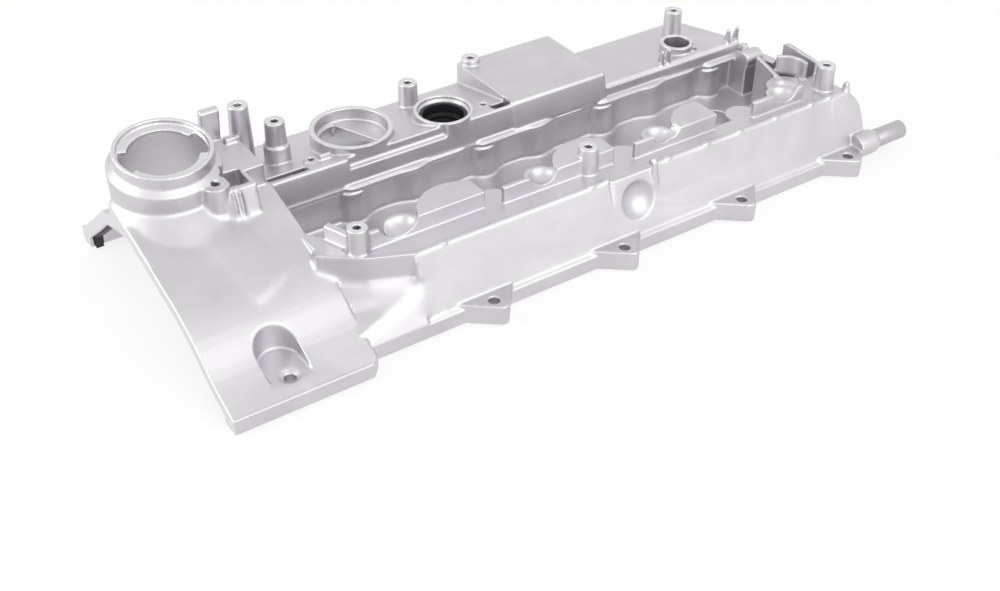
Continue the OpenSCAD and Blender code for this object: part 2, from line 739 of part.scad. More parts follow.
module ports_solid() {
    translate([breather_at[0], breather_at[1], breather_floor_z - wall])
        cylinder(r = breather_r, h = breather_z - breather_floor_z + wall);
    translate([valve_at[0], valve_at[1], valve_seat_z - 3])
        cylinder(r = valve_r, h = valve_z - valve_seat_z + 3);
    translate([sensor_at[0], sensor_at[1], 38])
        cylinder(r = sensor_bore_r + 3, h = sensor_z - 38);
}

module ports_cut() {
    translate([breather_at[0], breather_at[1], breather_floor_z]) cylinder(r = breather_bore_r, h = 20);
    translate([breather_at[0], breather_at[1], 0])
        intersection() {
            translate([0, 0, 20]) cylinder(r = breather_bore_r - 2, h = 40);
            rotate([0, 0, -66]) block([-30, -11, 20], [30, 7, 60]);
        }
    translate([valve_at[0], valve_at[1], valve_seat_z]) cylinder(r = valve_bore_r, h = 60);
    translate([valve_at[0], valve_at[1], 20]) cylinder(r = valve_bore_r - 3, h = 60);
    translate([valve_at[0], valve_at[1], valve_z - 3]) cylinder(r = valve_bore_r + 1.5, h = 20);
    translate([sensor_at[0], sensor_at[1], 20]) cylinder(r = sensor_bore_r, h = 60);
}

// Fixing posts
front_posts = [[-211.2, -60.8], [-50.8, -62.8], [147.9, -67.2]];
back_posts = [[-99.3, 69], [-45.5, 75.5], [117.6, 56]];
tall_posts = [[-224, 58, 92], [-206.5, 46.5, 81], [-263.4, 8, 76.5]];

module post(x, y, z, foot)
    translate([x, y, foot]) cylinder(r1 = post_r + (z - foot) * 0.035, r2 = post_r, h = z - foot);

module posts_solid() {
    for (p = front_posts)
        post(p[0], p[1], front_post_z, trough_z);
    for (p = back_posts)
        post(p[0], p[1], back_post_z, crown_at(p[1]) - wall - far_step);
    for (p = tall_posts)
        post(p[0], p[1], p[2], 40);
    translate([tall_posts[1][0], tall_posts[1][1], 40]) cylinder(r = post_r + 2, h = 25);
    translate([tall_posts[2][0], tall_posts[2][1], 48]) cylinder(r = post_r + 2, h = 28.5);
}

module post_hole(x, y, z)
    translate([x, y, z - post_hole_h]) cylinder(r = post_hole_r, h = post_hole_h + cut);

module post_holes() {
    for (p = front_posts)
        post_hole(p[0], p[1], front_post_z);
    for (p = back_posts)
        post_hole(p[0], p[1], back_post_z);
    for (p = tall_posts)
        post_hole(p[0], p[1], p[2]);
}

// Boss and bore for the breather pipe
pipe_y = -main_y + 1.5;
pipe_z = 12.5;
pipe_seat_x = far_x - 11;
pipe_step_x = far_x + 6.5;
pipe_seat_r = pipe_d / 2 - fit;
module pipe_boss()
    translate([far_x - 15, pipe_y, pipe_z]) {
        rotate([0, 90, 0]) cylinder(d = pipe_d + 4, h = 14);
        translate([14, 0, 0]) sphere(d = pipe_d + 4);
    }

module pipe_bore() {
    translate([pipe_seat_x, pipe_y, pipe_z]) rotate([0, 90, 0]) cylinder(r = pipe_seat_r + fit / 2, h = 40);
    translate([pipe_seat_x + 3.5, pipe_y, pipe_z + 1]) rotate([-90, 0, 0]) cylinder(d = 6, h = 20);
}

// Injector wells: figure-of-eight tubes from the trough floor to the sealing face
module well_plan(grow) {
    circle(d = well_d + 2 * grow);
    translate([-lobe_gap, 0]) circle(d = lobe_d + 2 * grow);
    translate([-lobe_gap, -lobe_d / 2 - grow]) square([lobe_gap, lobe_d + 2 * grow]);
}

seal_in = 1.5;
module seal_plan(play)
    difference() {
        well_plan(seal_in + seal_w + play);
        well_plan(seal_in - play);
    }

module wells_solid()
    for (x = well_x)
        translate([x, well_y, 0]) {
            up(0, trough_z) well_plan(well_wall);
            up(trough_z - eps, trough_z + 3) well_plan(2.5);
        }

module wells_cut()
    for (x = well_x)
        translate([x, well_y, 0]) {
            up(-cut, trough_z + 5) well_plan(0);
            up(-cut, seal_groove_h) seal_plan(fit);
        }

// The space under the cover below the trough floor
module under_space()
    block([hump_end - 2 * wall, -flange_in, -cut], [far_x - flange_w, flange_in, floor_low]);

// Bosses that hang from the crown and carry the separator's plate
baffle_x = [box_x[0] - 19, crown_end - 12];
baffle_y = [24, 80];
boss_r = 4.5;
screw_r = baffle_screw_d / 2;
boss_at = [for (x = [baffle_x[0] + 10, box_x[1] + boss_r + 1, baffle_x[1] - 9])
               for (y = [baffle_y[0] + 6, baffle_y[1] - 7]) [x, y]];
function boss_top(p) = crown_at(p[1]) - (p[0] < box_x[0] ? 0 : far_step) - wall + 1;
module baffle_bosses()
    for (p = boss_at)
        translate([p[0], p[1], baffle_z + baffle_t])
            cylinder(r = boss_r, h = boss_top(p) - baffle_z - baffle_t);

module baffle_boss_holes()
    for (p = boss_at)
        translate([p[0], p[1], baffle_z]) cylinder(r = screw_r, h = 9);

module cover_casting()
    color("gainsboro") {
        difference() {
            union() {
                difference() {
                    union() {
                        hump_solid();
                        hump_field();
                        corner_solid();
                        front_solid();
                        ridge_bumps();
                        saddle_fin();
                        timing_deck();
                        pads_solid();
                        fence();
                        crown_solid();
                        box_solid();
                        trough_floor();
                        far_end_solid();
                        neck_shelf();
                        neck_solid();
                    }
                    hump_hollow();
                    corner_hollow();
                    front_hollow();
                    timing_deck_hollow();
                    pads_hollow();
                    crown_hollow();
                    box_hollow();
                    far_end_hollow();
                    far_pocket();
                    under_space();
                }
                back_wall_relief();
                wall_end_bead();
                slot_walls();
                crown_trim();
                far_walls();
                dimple_back();
                pocket_solid();
                ports_solid();
                posts_solid();
                flange_ring();
                arch_band();
                pipe_boss();
                wells_solid();
                baffle_bosses();
                for (x = ear_x)
                    for (side = [-1, 1])
                        ear(x, side);
            }
            fence_notches();
            far_scoop();
            saddle_cut();
            pocket_cut();
            crown_cuts();
            crown_trim_holes();
            neck_bore();
            neck_shelf_pocket();
            ports_cut();
            post_holes();
            pipe_bore();
            wells_cut();
            baffle_boss_holes();
            gasket_groove();
            for (x = ear_x)
                for (side = [-1, 1])
                    ear_hole(x, side);
        }
    }

// One rubber ring that lies in the flange and climbs over the arch
module perimeter_gasket()
    color("#26272a") {
        flat_run(gasket_w, -bead, groove_h);
        arch_run(gasket_w, arch_groove_h, bead);
    }

module injector_seal(i)
    color("#26272a")
        translate([well_x[i - 1], well_y, seal_groove_h - seal_h]) linear_extrude(seal_h) seal_plan(0);

// Plastic cup in the valve port
module port_insert()
    color("#17181a")
        translate([valve_at[0], valve_at[1], valve_seat_z])
            difference() {
                cylinder(r = valve_bore_r - fit, h = valve_z - 4 - valve_seat_z);
                translate([0, 0, 2]) cylinder(r = valve_bore_r - fit - 1.8, h = 20);
            }

// Tube, a little slimmer where it sits in its boss
module breather_pipe()
    color("silver") {
        bore_r = pipe_d / 2 - pipe_wall;
        step = pipe_step_x - pipe_seat_x;
        end = far_x + pipe_len - pipe_seat_x;
        translate([pipe_seat_x, pipe_y, pipe_z]) rotate([0, 90, 0])
            rotate_extrude()
                polygon([[bore_r, 0], [pipe_seat_r, 0], [pipe_seat_r, step], [pipe_d / 2, step],
                         [pipe_d / 2, end], [bore_r, end]]);
    }

module baffle_plate()
    color("lightsteelblue")
        difference() {
            block([baffle_x[0], baffle_y[0], baffle_z], [baffle_x[1], baffle_y[1], baffle_z + baffle_t]);
            for (p = boss_at)
                translate([p[0], p[1], baffle_z - cut]) cylinder(r = screw_r + fit, h = baffle_t + 2 * cut);
        }

module baffle_screw(i)
    color("dimgray")
        translate([boss_at[i - 1][0], boss_at[i - 1][1], baffle_z]) {
            translate([0, 0, -3]) cylinder(r = 1.8 * screw_r, h = 3);
            translate([0, 0, -eps]) cylinder(r = screw_r - fit / 2, h = 8);
        }

cover_casting();
perimeter_gasket();
injector_seal(1);  // injector_seal_1
injector_seal(2);  // injector_seal_2
injector_seal(3);  // injector_seal_3
injector_seal(4);  // injector_seal_4
port_insert();
breather_pipe();
baffle_plate();
baffle_screw(1);  // baffle_screw_1
baffle_screw(2);  // baffle_screw_2
baffle_screw(3);  // baffle_screw_3
baffle_screw(4);  // baffle_screw_4
baffle_screw(5);  // baffle_screw_5
baffle_screw(6);  // baffle_screw_6
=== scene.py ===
# %% [markdown]
# # A cast aluminium valve cover
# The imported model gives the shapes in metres, already in place. This lesson turns its sharp solids
# into a real casting with soft corners, adds the rubber, plastic and steel pieces that belong to
# it, and lights the whole as in a white studio.

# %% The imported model
import math
import bpy
import bmesh
from mathutils import Matrix, Vector


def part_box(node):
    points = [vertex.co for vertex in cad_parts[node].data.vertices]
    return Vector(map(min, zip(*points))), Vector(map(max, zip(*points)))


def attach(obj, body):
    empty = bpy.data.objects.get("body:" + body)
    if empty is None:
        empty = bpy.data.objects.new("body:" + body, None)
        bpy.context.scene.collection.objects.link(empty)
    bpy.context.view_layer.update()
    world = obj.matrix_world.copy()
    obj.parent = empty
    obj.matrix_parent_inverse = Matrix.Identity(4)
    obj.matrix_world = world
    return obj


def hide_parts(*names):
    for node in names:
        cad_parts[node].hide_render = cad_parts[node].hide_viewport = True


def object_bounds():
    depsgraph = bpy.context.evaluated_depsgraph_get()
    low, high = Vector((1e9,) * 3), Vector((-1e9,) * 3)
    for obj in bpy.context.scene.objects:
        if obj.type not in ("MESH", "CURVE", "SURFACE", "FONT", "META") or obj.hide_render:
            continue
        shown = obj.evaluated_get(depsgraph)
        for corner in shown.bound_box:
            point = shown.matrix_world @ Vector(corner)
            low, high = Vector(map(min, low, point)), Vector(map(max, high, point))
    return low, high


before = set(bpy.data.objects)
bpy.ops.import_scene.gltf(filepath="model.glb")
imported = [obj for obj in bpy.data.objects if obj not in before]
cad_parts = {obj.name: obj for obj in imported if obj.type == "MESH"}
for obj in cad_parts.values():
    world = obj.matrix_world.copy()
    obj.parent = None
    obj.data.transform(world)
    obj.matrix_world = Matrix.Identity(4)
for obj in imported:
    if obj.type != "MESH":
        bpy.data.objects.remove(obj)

MM = 1000  # millimetres in a metre
cad_box = [list(corner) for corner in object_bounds()]
print("the cover is", [round(MM * (b - a)) for a, b in zip(*cad_box)], "mm")

# %% [markdown]
# ## Camera
# The camera stands at the timing end, in front of the cover and well above it. Its place and its
# three directions come from lining up the bolt holes with the picture.

# %% Camera
camera = bpy.data.objects.new("camera", bpy.data.cameras.new("camera"))
bpy.context.scene.collection.objects.link(camera)
bpy.context.scene.camera = camera
right = Vector((0.8247, -0.5654, 0.0111))
down = Vector((-0.3359, -0.5056, -0.7947))
ahead = Vector((0.4550, 0.6517, -0.6069))
turn = Matrix((right, -down, -ahead)).transposed().to_4x4()
camera.matrix_world = Matrix.Translation((-0.5013, -0.6162, 0.4951)) @ turn
camera.data.sensor_width = 36
camera.data.lens = 48.816
camera.data.shift_x = 0.0001
camera.data.shift_y = -0.001
camera.data.clip_start, camera.data.clip_end = 0.01, 100
print("camera is", round(camera.location.length, 2), "m from the origin")

# %% [markdown]
# ## Small tools
# An operator acts on whatever is selected, so each piece begins with nothing selected. A copy of
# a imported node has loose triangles, and merging their corners gives a closed skin to work on.

# %% Selecting and copying
def only(piece):
    """Select one object and nothing else."""
    bpy.ops.object.select_all(action="DESELECT")
    piece.select_set(True)
    bpy.context.view_layer.objects.active = piece
    return piece


def skin_of(node, name):
    """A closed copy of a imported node, ready to be worked on."""
    piece = bpy.data.objects.new(name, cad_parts[node].data.copy())
    bpy.context.scene.collection.objects.link(piece)
    only(piece)
    bpy.ops.object.mode_set(mode="EDIT")
    bpy.ops.mesh.select_all(action="SELECT")
    bpy.ops.mesh.remove_doubles(threshold=2e-6)
    bpy.ops.object.mode_set(mode="OBJECT")
    bpy.ops.mesh.customdata_custom_splitnormals_clear()
    piece.data.materials.clear()
    return piece


def apply(piece, kind, **settings):
    """Add one modifier, set it and apply it."""
    only(piece)
    modifier = piece.modifiers.new(kind.lower(), kind)
    for key, value in settings.items():
        setattr(modifier, key, value)
    bpy.ops.object.modifier_apply(modifier=modifier.name)


def finished(piece, material, slot, *nodes):
    """Give a piece its finish, let it ride on the cover and say which nodes it stands for."""
    only(piece)
    bpy.ops.object.transform_apply(location=True, rotation=True, scale=True)
    piece.data.materials.clear()
    piece.data.materials.append(material)
    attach(piece, "root")
    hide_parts(*nodes)
    print(piece.name, "has", len(piece.data.polygons), "faces")


# %% [markdown]
# Every material starts the same way: a colour that is written as an sRGB hex code, a Principled
# shader, and Object coordinates, which stay on the piece when it moves. A noise with a scale of
# MM / s has features of about s millimetres.

# %% Colours and shader nodes
def linear(code):
    """An sRGB hex colour as the linear numbers that a shader takes."""
    parts = [int(code[i:i + 2], 16) / 255 for i in (1, 3, 5)]
    return [c / 12.92 if c <= 0.04045 else ((c + 0.055) / 1.055) ** 2.4 for c in parts] + [1]


def add(tree, kind, links=None, inputs=None, **settings):
    """Add one shader node with its settings, its plain inputs and its links."""
    node = tree.nodes.new(kind)
    for key, value in settings.items():
        setattr(node, key, value)
    for key, value in (inputs or {}).items():
        node.inputs[key].default_value = value
    for key, socket in (links or {}).items():
        tree.links.new(socket, node.inputs[key])
    return node


def new_material(name, **numbers):
    """A material with its shader, its plain numbers, its output and Object coordinates."""
    material = bpy.data.materials.new(name)
    material.use_nodes = True
    tree = material.node_tree
    tree.nodes.clear()
    shader = add(tree, "ShaderNodeBsdfPrincipled")
    for key, value in numbers.items():
        shader.inputs[key.replace("_", " ")].default_value = value
    add(tree, "ShaderNodeOutputMaterial", {"Surface": shader.outputs[0]})
    place = add(tree, "ShaderNodeTexCoord").outputs["Object"]
    return material, tree, shader, place


# %% [markdown]
# ## Die-cast aluminium
# The cover is cast in a steel die and then blasted with fine shot. That leaves a pale satin skin
# with a very faint violet cast, and soft clouds where the metal ran and cooled at different
# speeds. The real grain is a tenth or two of a millimetre and wouldn't show, so it is drawn at
# 0.7 mm. A few faces are milled afterwards, and they are smoother and a little brighter. A mask on
# the mesh, made with the casting, says where those are. A metal takes its light and dark from
# what it reflects, and the roughness sets how softly.

# %% Die-cast aluminium
cast, tree, shader, place = new_material("die_cast_aluminium_blasted", Metallic=1)
grain = add(tree, "ShaderNodeTexNoise", {"Vector": place},
            {"Scale": MM / 0.7, "Detail": 3, "Roughness": 0.6}).outputs["Fac"]
cloud = add(tree, "ShaderNodeTexNoise", {"Vector": place},
            {"Scale": MM / 38, "Detail": 4, "Roughness": 0.55, "Distortion": 0.4}).outputs["Fac"]
milled = add(tree, "ShaderNodeAttribute", attribute_name="milled").outputs["Fac"]
tone = add(tree, "ShaderNodeMapRange", {"Value": cloud},
           {"From Min": 0.3, "From Max": 0.7}).outputs["Result"]
skin_tone = add(tree, "ShaderNodeMix", {0: tone},
                {6: linear("#CAC7CB"), 7: linear("#D3D1D4")}, data_type="RGBA").outputs[2]
bare_tone = add(tree, "ShaderNodeMix", {0: milled, 6: skin_tone},
                {7: linear("#DCDBDD")}, data_type="RGBA").outputs[2]
speck = add(tree, "ShaderNodeMapRange", {"Value": grain},
            {"From Min": 0.3, "From Max": 0.7, "To Min": 0.96, "To Max": 1.03}).outputs["Result"]
dusted = add(tree, "ShaderNodeMix", {6: bare_tone, 7: speck}, {0: 1.0},
             data_type="RGBA", blend_type="MULTIPLY").outputs[2]
tree.links.new(dusted, shader.inputs["Base Color"])
skin_gloss = add(tree, "ShaderNodeMapRange", {"Value": cloud},
                 {"From Min": 0.3, "From Max": 0.7, "To Min": 0.41, "To Max": 0.47})
skin_gloss = skin_gloss.outputs["Result"]
gloss = add(tree, "ShaderNodeMix", {0: milled, 2: skin_gloss}, {3: 0.36}).outputs[0]
tree.links.new(gloss, shader.inputs["Roughness"])
relief = add(tree, "ShaderNodeBump", {"Height": grain}, {"Strength": 0.5, "Distance": 0.00003})
tree.links.new(relief.outputs["Normal"], shader.inputs["Normal"])
print(cast.name, "has", len(tree.nodes), "nodes")

# %% [markdown]
# ## The casting
# A real casting has no sharp corner: every inside corner is a fillet, so that the metal flows and
# doesn't crack, and every outside corner is a small round. Bevelling each edge of this shape by
# hand would take thousands of cuts. Rebuilding the skin from cells of just under a millimetre and
# smoothing it rounds all corners at once, by about the radius that the die has. A few soft forms
# are easier here than in the solids, so they come first. The bowl before the first bearing cap is
# a ball that is taken away, and then a drum with the same middle opens it to the front.

# %% The first bowl
def carve(piece, cutter):
    """Take a cutter away from a piece and drop it."""
    apply(piece, "BOOLEAN", operation="DIFFERENCE", object=cutter, solver="EXACT")
    bpy.data.objects.remove(cutter)


casting = skin_of("cover_casting", "valve_cover_casting")
bowl, bowl_radius = Vector((-0.185, -0.061, 0.0634)), 0.013
bpy.ops.mesh.primitive_uv_sphere_add(segments=48, ring_count=32, radius=bowl_radius, location=bowl)
carve(casting, bpy.context.object)
drum_depth = 0.012
bpy.ops.mesh.primitive_cylinder_add(vertices=64, radius=bowl_radius, depth=drum_depth,
                                    location=bowl - Vector((0, drum_depth / 2, 0)),
                                    rotation=(math.pi / 2, 0, 0))
carve(casting, bpy.context.object)
print("the bowl is", round(2 * MM * bowl_radius), "mm wide")

# %% [markdown]
# At the corner beside the arch the deck reaches round the first post. A small convex body is
# quickest from its corner points, round which the convex hull operator spans the faces. The deck
# is a prism under three points of its edge, and a low ridge follows them.

# %% The corner deck
def lump(name, points):
    """A convex body through points in millimetres."""
    piece = bpy.data.objects.new(name, bpy.data.meshes.new(name))
    piece.data.from_pydata([Vector(p) / MM for p in points], [], [])
    bpy.context.scene.collection.objects.link(piece)
    only(piece)
    bpy.ops.object.mode_set(mode="EDIT")
    bpy.ops.mesh.select_all(action="SELECT")
    bpy.ops.mesh.convex_hull()
    bpy.ops.object.mode_set(mode="OBJECT")
    return piece


def prism(name, plan, low, high):
    """A convex upright body from its plan and two heights, in millimetres."""
    return lump(name, [(x, y, z) for x, y in plan for z in (low, high)])


edge = [(-234.5, -52.5), (-212, -70), (-186, -81.5)]
deck_top, ridge_top = 48.7, 50.4
corner = [prism("corner_deck", edge + [(-186, -76), (-225, -50), (-233, -45)], 20, deck_top),
          prism("corner_ridge_1", [edge[0], edge[1], (-210.2, -67.6), (-232.7, -50.1)],
                48, ridge_top),
          prism("corner_ridge_2", [edge[1], edge[2], (-184.8, -78.8), (-210.8, -67.3)],
                48, ridge_top)]
print("the ridge is", round(ridge_top - deck_top, 1), "mm high")

# %% [markdown]
# Below the deck a shelf turns as it falls to the flange. A turned sheet isn't convex, so it is
# made of thin slabs between five stations, and smoothing melts them into one. A station is a
# place along X with four points, each a Y and a Z, down the sheet.

# %% The corner shelf
stations = [(-229, [(-54, 34), (-70, 26.5), (-84, 18), (-92.3, 11)]),
            (-212, [(-68, 34), (-80, 27.5), (-88.3, 20), (-93.3, 12)]),
            (-200, [(-74.5, 34), (-84, 27.5), (-89.9, 20), (-93.3, 12)]),
            (-190, [(-81.5, 34), (-87.2, 27.5), (-90.5, 20), (-93.3, 12)]),
            (-179, [(-86, 34), (-88.1, 27.5), (-90.6, 20), (-93.3, 12)])]
steps = 4  # slabs between two stations
inward = Vector((0, 3, -3))  # from the sheet's outer to its inner side
rows = []
for (x0, first), (x1, last) in zip(stations, stations[1:]):
    for step in range(steps):
        rows.append([Vector((x0, *a)).lerp(Vector((x1, *b)), step / steps)
                     for a, b in zip(first, last)])
rows.append([Vector((x1, *b)) for b in last])
for one, two in zip(rows, rows[1:]):
    for k in range(len(one) - 1):
        front = [one[k], one[k + 1], two[k], two[k + 1]]
        corner.append(lump("corner_shelf", front + [p + inward for p in front]))
print("the shelf has", len(rows) - 1, "rows of slabs")

# %% [markdown]
# The filler neck stands on a low skirt that spreads over the front of the arch. It is a convex
# body round arcs that widen downwards, from the neck's wall to the arch, and it goes no further
# than the arch's face. The neck's bore is cut out of it. The neck leans to the front, and so does
# the cutter.

# %% The neck's skirt
NECK_TILT = math.radians(8)
foot_x, foot_y, arch_face = -281, 40, -315.9
slope = [(33, 65), (36, 62.2), (42, 58), (53, 52), (33, 52)]  # radius and height
skirt_points = []
for angle in range(175, 326, 10):
    across, along = math.cos(math.radians(angle)), math.sin(math.radians(angle))
    skirt_points += [(max(arch_face, foot_x + r * across), foot_y + r * along, z)
                     for r, z in slope]
skirt = lump("neck_skirt", skirt_points)
bore, bore_radius = (-0.281, 0.0398, 0.065), 0.0312
bpy.ops.mesh.primitive_cylinder_add(vertices=96, radius=bore_radius, depth=0.06, location=bore,
                                    rotation=(NECK_TILT, 0, 0))
carve(skirt, bpy.context.object)
print("the skirt has", len(skirt.data.polygons), "faces")

# %% [markdown]
# Softening has three steps. Voxel remesh rebuilds the skin from even cells, the Smooth modifier
# takes the corners down, and Decimate thins out the flat stretches, where small faces say
# nothing. A vertex group keeps extra smoothing to the places where the real casting is softest.

# %% Softening
def soften(piece, voxel, rounds, faces, gentle=()):
    """Rebuild a skin from even cells, smooth its corners and thin out the flat stretches.

    Each gentle place, a low and a high corner in millimetres, is smoothed more."""
    only(piece)
    piece.data.remesh_voxel_size = voxel
    bpy.ops.object.voxel_remesh()
    apply(piece, "SMOOTH", factor=0.5, iterations=rounds)
    for low, high, more in gentle:
        group = piece.vertex_groups.new(name="gentle")
        inside = [v.index for v in piece.data.vertices
                  if all(a < MM * c < b for a, c, b in zip(low, v.co, high))]
        group.add(inside, 1, "REPLACE")
        apply(piece, "SMOOTH", factor=0.5, iterations=more, vertex_group=group.name)
        piece.vertex_groups.clear()
    apply(piece, "DECIMATE", ratio=min(1, faces / (2 * len(piece.data.polygons))))
    bpy.ops.object.shade_smooth()


# %% [markdown]
# The arch's flange loses its sharp corner. Then all bodies are joined, although they overlap,
# because rebuilding the skin keeps only the outside.

# %% Joining and softening
carve(casting, prism("corner_cut", [(-231.5, -109.6), (-224.4, -109.6), (-224.4, -102.5)], -1, 12))
only(casting)
for body in corner + [skirt]:
    body.select_set(True)
bpy.ops.object.join()
gentle = [((-288, -66, 26), (-242, 2, 60), 60),  # the raised field on the arch
          ((-225, -94, 11), (-172, -60, 44), 50),  # the shelf and the face of the deck
          ((-214, -97, 13), (-168, -70, 35), 160),  # where the shelf meets the front wall
          ((-248, -66, 32), (-224, -42, 49.4), 50),  # where the deck meets the arch
          ((-213, -8, 14.5), (125, 13.5, 28), 45),  # the foot of the trough's back wall
          ((-317, -14, 50), (-238, 20, 70), 12),  # the foot of the neck
          ((-290, -104, 9), (-256, -60, 44), 10)]  # the bolt pocket
soften(casting, voxel=0.0009, rounds=6, faces=196000, gentle=gentle)
print("the skin has", len(casting.data.polygons), "faces")

# %% [markdown]
# Posts and port rims are milled flat after casting, and so are the sealing face and the face of
# the arch. Each milled place is a middle, a level and a radius in millimetres, and a point counts
# when it is within half a millimetre or so of that level. The filler neck's face leans to the
# front, so it is tested in the neck's own directions, and so is the ring 3 mm below it.

# %% Milled faces
milled_spots = [(-211.2, -60.8, 66.5, 6), (-50.8, -62.8, 66.5, 6), (147.9, -67.2, 66.5, 6),
                (-99.3, 69, 65, 6), (-45.5, 75.5, 65, 6), (117.6, 56, 65, 6),
                (-224, 58, 92, 6), (-206.5, 46.5, 81, 6), (-263.4, 8, 76.5, 6),
                (-157, 42, 63, 26.2), (-94.5, 33, 60.5, 19.2), (99.6, 30, 55.7, 11.8)]
near, skin_depth = 0.6, 0.45
neck = Matrix.Translation((-281, 36, 92)) @ Matrix.Rotation(NECK_TILT, 4, "X")
to_neck = neck.inverted()
neck_levels = [(0, 28.6), (-3, 26)]


def is_milled(p):
    """Whether a point, in millimetres, lies on a milled face."""
    if p.z < skin_depth or p.x < cad_box[0][0] * MM + skin_depth:
        return True
    local = to_neck @ p
    if any(abs(local.z - z) < near and local.xy.length < r for z, r in neck_levels):
        return True
    return any(abs(p.z - z) < near and math.hypot(p.x - x, p.y - y) < r
               for x, y, z, r in milled_spots)


mask = casting.data.attributes.new("milled", "FLOAT", "POINT")
marks = [float(is_milled(v.co * MM)) for v in casting.data.vertices]
mask.data.foreach_set("value", marks)
print("milled:", round(100 * sum(marks) / len(marks)), "% of the points")
finished(casting, cast, "cast_aluminium", "cover_casting")

# %% [markdown]
# ## Rubber gasket and seals
# The gasket and the four seals are moulded from black rubber. Rubber leaves its mould with a dull
# skin, softly rounded lips and a very fine grain, which is drawn at 0.4 mm so that it shows.

# %% Moulded rubber
rubber, tree, shader, place = new_material("moulded_rubber", IOR=1.52)
bloom = add(tree, "ShaderNodeTexNoise", {"Vector": place}, {"Scale": MM / 9, "Detail": 5})
bloom = bloom.outputs["Fac"]
rubber_tone = add(tree, "ShaderNodeMix", {0: bloom},
                  {6: linear("#17171A"), 7: linear("#2A2A2D")}, data_type="RGBA").outputs[2]
tree.links.new(rubber_tone, shader.inputs["Base Color"])
rubber_gloss = add(tree, "ShaderNodeMapRange", {"Value": bloom}, {"To Min": 0.42, "To Max": 0.62})
tree.links.new(rubber_gloss.outputs["Result"], shader.inputs["Roughness"])
pores = add(tree, "ShaderNodeTexNoise", {"Vector": place}, {"Scale": MM / 0.4, "Detail": 2})
relief = add(tree, "ShaderNodeBump", {"Height": pores.outputs["Fac"]},
             {"Strength": 0.4, "Distance": 0.00003})
tree.links.new(relief.outputs["Normal"], shader.inputs["Normal"])
print(rubber.name, "has", len(tree.nodes), "nodes")

# %% [markdown]
# Gasket and seals are softened copies of their solids, so they stay in their grooves. The four
# seals have one shape, so one is softened, and the others are copies of its mesh, moved along the
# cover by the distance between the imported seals.

# %% Gasket and seals
gasket = skin_of("perimeter_gasket", "rubber_gasket")
soften(gasket, voxel=0.0005, rounds=4, faces=90000)
finished(gasket, rubber, "gasket_rubber", "perimeter_gasket")
first_seal = skin_of("injector_seal_1", "injector_seal_ring_1")
soften(first_seal, voxel=0.0003, rounds=4, faces=12000)
for number in (2, 3, 4):
    seal = bpy.data.objects.new("injector_seal_ring_%d" % number, first_seal.data.copy())
    bpy.context.scene.collection.objects.link(seal)
    seal.location.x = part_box("injector_seal_%d" % number)[0].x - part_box("injector_seal_1")[0].x
    finished(seal, rubber, "gasket_rubber", "injector_seal_%d" % number)
finished(first_seal, rubber, "gasket_rubber", "injector_seal_1")

# %% [markdown]
# ## Black plastic insert
# A cup of glass-filled nylon sits in the middle port. The short fibres are a hundredth of a
# millimetre thick and give the moulded skin a fine grain, drawn at half a millimetre so that it
# shows.

# %% Glass-filled nylon
nylon, tree, shader, place = new_material("moulded_nylon_black", IOR=1.53)
flow = add(tree, "ShaderNodeTexNoise", {"Vector": place}, {"Scale": MM / 6, "Detail": 4})
flow = flow.outputs["Fac"]
nylon_tone = add(tree, "ShaderNodeMix", {0: flow},
                 {6: linear("#101012"), 7: linear("#1E1E21")}, data_type="RGBA").outputs[2]
tree.links.new(nylon_tone, shader.inputs["Base Color"])
nylon_gloss = add(tree, "ShaderNodeMapRange", {"Value": flow}, {"To Min": 0.32, "To Max": 0.46})
tree.links.new(nylon_gloss.outputs["Result"], shader.inputs["Roughness"])
fibres = add(tree, "ShaderNodeTexNoise", {"Vector": place}, {"Scale": MM / 0.5, "Detail": 2})
relief = add(tree, "ShaderNodeBump", {"Height": fibres.outputs["Fac"]},
             {"Strength": 0.3, "Distance": 0.00002})
tree.links.new(relief.outputs["Normal"], shader.inputs["Normal"])
print(nylon.name, "has", len(tree.nodes), "nodes")

# %% [markdown]
# A turned piece starts as a cylinder. Its faces are picked by their middle and their direction,
# so the same few lines serve the insert, the pipe and the screws.

# %% Turning helpers
def pick(piece, test):
    """In edit mode, select the faces whose middle and normal pass a test."""
    bpy.ops.mesh.select_mode(type="FACE")
    bpy.ops.mesh.select_all(action="DESELECT")
    mesh = bmesh.from_edit_mesh(piece.data)
    for face in mesh.faces:
        face.select = test(face.calc_center_median(), face.normal)
    bmesh.update_edit_mesh(piece.data)


def cylinder(name, low, radius, height, sides=64, turn=(0, 0, 0)):
    """A cylinder primitive that stands on a point, in edit mode."""
    bpy.ops.object.select_all(action="DESELECT")
    axis = Matrix.Rotation(turn[1], 3, "Y") @ Vector((0, 0, 1))
    bpy.ops.mesh.primitive_cylinder_add(vertices=sides, radius=radius, depth=height,
                                        location=Vector(low) + axis * height / 2, rotation=turn)
    piece = bpy.context.object
    piece.name = piece.data.name = name
    bpy.ops.object.transform_apply(location=True, rotation=True, scale=True)
    bpy.ops.object.mode_set(mode="EDIT")
    return piece


def rounded(piece, width):
    """Leave edit mode, round the sharp edges and smooth the shading."""
    bpy.ops.object.mode_set(mode="OBJECT")
    apply(piece, "BEVEL", width=width, segments=3, limit_method="ANGLE",
          angle_limit=math.radians(35))
    only(piece)
    bpy.ops.object.shade_smooth_by_angle(angle=math.radians(40))


# %% [markdown]
# The insert's top face is inset and pushed down, which makes the cup, and once more for the
# narrower seat in its floor. A small bevel rounds the lips, as the mould does.

